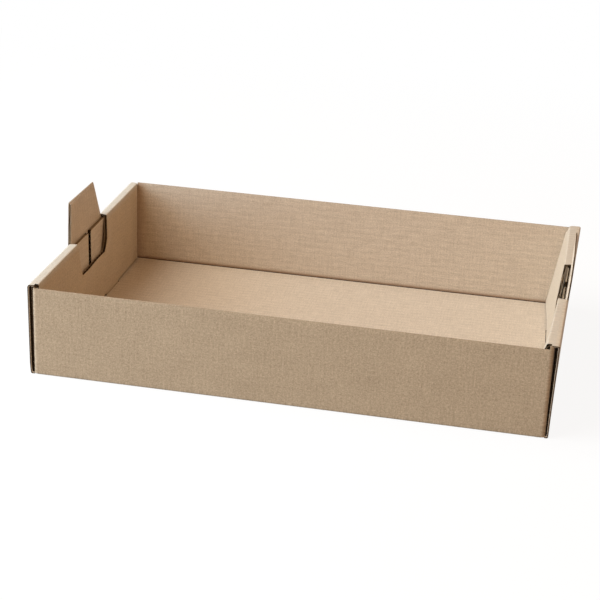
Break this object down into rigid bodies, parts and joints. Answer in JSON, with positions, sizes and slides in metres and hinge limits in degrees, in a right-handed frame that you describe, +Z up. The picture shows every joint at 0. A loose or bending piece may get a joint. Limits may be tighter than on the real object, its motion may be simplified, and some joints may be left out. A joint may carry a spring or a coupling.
{
  "type": "cardboard tray box",
  "caption": "Shallow open tray folded from kraft corrugated board, with rolled-over end walls, locked inner end panels and upright stacking tabs.",
  "frame": {"origin": "middle of the floor's underside", "axes": "+X along the tray's length, +Y from the front wall to the back wall, +Z up out of the open top"},
  "size_m": [0.444, 0.286, 0.1154],
  "materials": {
    "kraft_board": "matte brown kraft liner with faint flute lines"
  },
  "bodies": {
    "root": {"tray": "kraft_board"}
  },
  "joints": []
}
